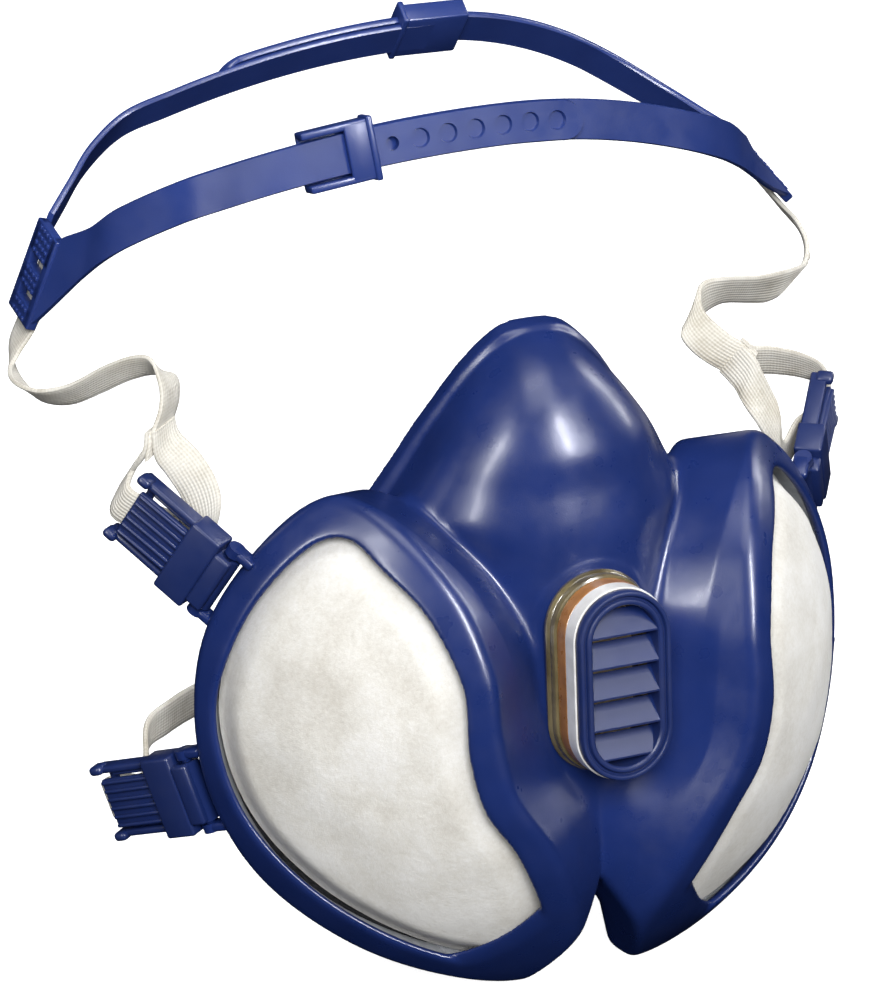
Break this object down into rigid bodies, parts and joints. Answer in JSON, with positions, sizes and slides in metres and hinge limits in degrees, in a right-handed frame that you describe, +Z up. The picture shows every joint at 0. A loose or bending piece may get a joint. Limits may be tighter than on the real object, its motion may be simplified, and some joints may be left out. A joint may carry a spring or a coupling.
{
  "type": "half mask respirator",
  "caption": "Half-mask respirator: moulded face cup with twin domed filter pods, a louvred outlet valve, swivel buckles and an adjustable head cradle on elastics.",
  "frame": {"origin": "middle of the face opening on the plane of symmetry, where the face cylinder of the seal begins", "axes": "+Z up along the face, -Y is the way the mask looks, +X is the viewer's right when facing the mask"},
  "size_m": [0.2248, 0.1594, 0.2063],
  "materials": {
    "rubber_blue": "satin moulded thermoplastic rubber",
    "plastic_blue": "moulded polypropylene, satin",
    "cradle_blue": "flexible moulded polyethylene, semi gloss",
    "tray_grey": "moulded tray",
    "carbon": "bonded granules",
    "scrim": "thin non-woven",
    "fleece": "needled non-woven fleece",
    "flap_rubber": "thin natural rubber",
    "valve_clear": "smoked translucent housing",
    "band_brown": "printed colour band",
    "band_white": "printed colour band",
    "elastic": "woven elastic webbing"
  },
  "bodies": {
    "mask": {"facepiece": "rubber_blue", "valve_body": "valve_clear", "colour_band_brown": "band_brown", "colour_band_white": "band_white", "flap_clamp": "valve_clear", "valve_cover": "plastic_blue", "neck_eye": "plastic_blue", "filter_tray_left": "tray_grey", "carbon_bed_left": "carbon", "dust_scrim_left": "scrim", "filter_pad_left": "fleece", "elastic_loop_left": "elastic", "neck_strap_left": "elastic", "filter_tray_right": "tray_grey", "carbon_bed_right": "carbon", "dust_scrim_right": "scrim", "filter_pad_right": "fleece", "elastic_loop_right": "elastic", "neck_strap_right": "elastic"},
    "outlet_flap": {"exhale_flap": "flap_rubber"},
    "inlet_flap_left": {"inhale_flap_left": "flap_rubber"},
    "inlet_flap_right": {"inhale_flap_right": "flap_rubber"},
    "buckle_ul": {"buckle_upper_left": "plastic_blue"},
    "buckle_ur": {"buckle_upper_right": "plastic_blue"},
    "buckle_ll": {"buckle_lower_left": "plastic_blue"},
    "buckle_lr": {"buckle_lower_right": "plastic_blue"},
    "cradle_a": {"cradle_half_left": "cradle_blue", "elastic_upper_left": "elastic", "elastic_upper_right": "elastic"},
    "cradle_b": {"cradle_half_right": "cradle_blue"},
    "clip_hook": {"neck_hook": "plastic_blue"}
  },
  "joints": [
    {"name": "outlet_flap_lift", "type": "hinge", "parent": "mask", "child": "outlet_flap", "pos_m": [0, -0.04093, 0.01848], "axis": [-1, 0, 0], "range_deg": [0, 10], "stiffness_Nm_per_rad": 0.002},
    {"name": "inlet_flap_lift_left", "type": "slide", "parent": "mask", "child": "inlet_flap_left", "axis": [0.7373, 0.6756, 0], "range_m": [0, 0.0011], "stiffness_N_per_m": 5},
    {"name": "inlet_flap_lift_right", "type": "slide", "parent": "mask", "child": "inlet_flap_right", "axis": [-0.7373, 0.6756, 0], "range_m": [0, 0.0011], "stiffness_N_per_m": 5},
    {"name": "buckle_upper_left_swivel", "type": "hinge", "parent": "mask", "child": "buckle_ul", "pos_m": [-0.07851, 0.00126, 0.018], "axis": [-0.3479, 0.3797, -0.8572], "range_deg": [-10, 14], "stiffness_Nm_per_rad": 0.02, "deforming": ["elastic_loop_left"]},
    {"name": "buckle_lower_left_swivel", "type": "hinge", "parent": "mask", "child": "buckle_ll", "pos_m": [-0.08345, -0.00001, -0.0352], "axis": [0.2585, -0.2821, -0.9239], "range_deg": [-10, 14], "stiffness_Nm_per_rad": 0.02, "deforming": ["neck_strap_left"]},
    {"name": "buckle_upper_right_swivel", "type": "hinge", "parent": "mask", "child": "buckle_ur", "pos_m": [0.07851, 0.00126, 0.018], "axis": [-0.3479, -0.3797, 0.8572], "range_deg": [-10, 14], "stiffness_Nm_per_rad": 0.02, "deforming": ["elastic_loop_right"]},
    {"name": "buckle_lower_right_swivel", "type": "hinge", "parent": "mask", "child": "buckle_lr", "pos_m": [0.08345, -0.00001, -0.0352], "axis": [0.2585, 0.2821, 0.9239], "range_deg": [-10, 14], "stiffness_Nm_per_rad": 0.02, "deforming": ["neck_strap_right"]},
    {"name": "harness_swing", "type": "hinge", "parent": "mask", "child": "cradle_a", "pos_m": [0, 0.0155, 0.0495], "axis": [1, 0, 0], "range_deg": [-14, 26], "stiffness_Nm_per_rad": 0.05, "deforming": ["elastic_upper_left", "elastic_upper_right"]},
    {"name": "cradle_size", "type": "hinge", "parent": "cradle_a", "child": "cradle_b", "pos_m": [0.0145, 0.12327, -0.21226], "axis": [0, 0.9826, 0.1857], "range_deg": [0, 2.4], "stiffness_Nm_per_rad": 0.05, "deforming": ["elastic_upper_right"]},
    {"name": "neck_unhook", "type": "slide", "parent": "mask", "child": "clip_hook", "axis": [0, 1, 0], "range_m": [0, 0.0042], "stiffness_N_per_m": 20, "deforming": ["neck_strap_left"]}
  ]
}
